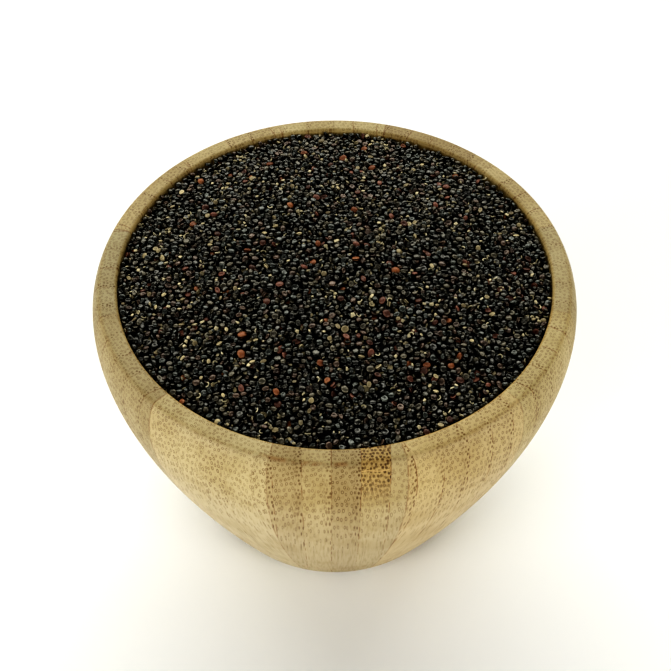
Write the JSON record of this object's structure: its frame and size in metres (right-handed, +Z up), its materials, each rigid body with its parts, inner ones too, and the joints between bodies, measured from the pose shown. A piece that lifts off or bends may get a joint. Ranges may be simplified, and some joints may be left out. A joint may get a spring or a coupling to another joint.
{
  "type": "bowl of black quinoa",
  "caption": "Round bowl of laminated bamboo with a flat rim, swelling shoulder and narrow foot, heaped with black quinoa seeds.",
  "frame": {"origin": "centre of the foot's flat underside", "axes": "+Z up out of the bowl, along its axis of turning"},
  "size_m": [0.1202, 0.1202, 0.0929],
  "materials": {
    "bamboo": "turned laminated bamboo, sanded, thin satin oil",
    "quinoa": "dry seeds, mostly black with a dull sheen, some grey, brown, red and tan"
  },
  "bodies": {
    "root": {"bowl": "bamboo", "quinoa": "quinoa"}
  },
  "joints": []
}
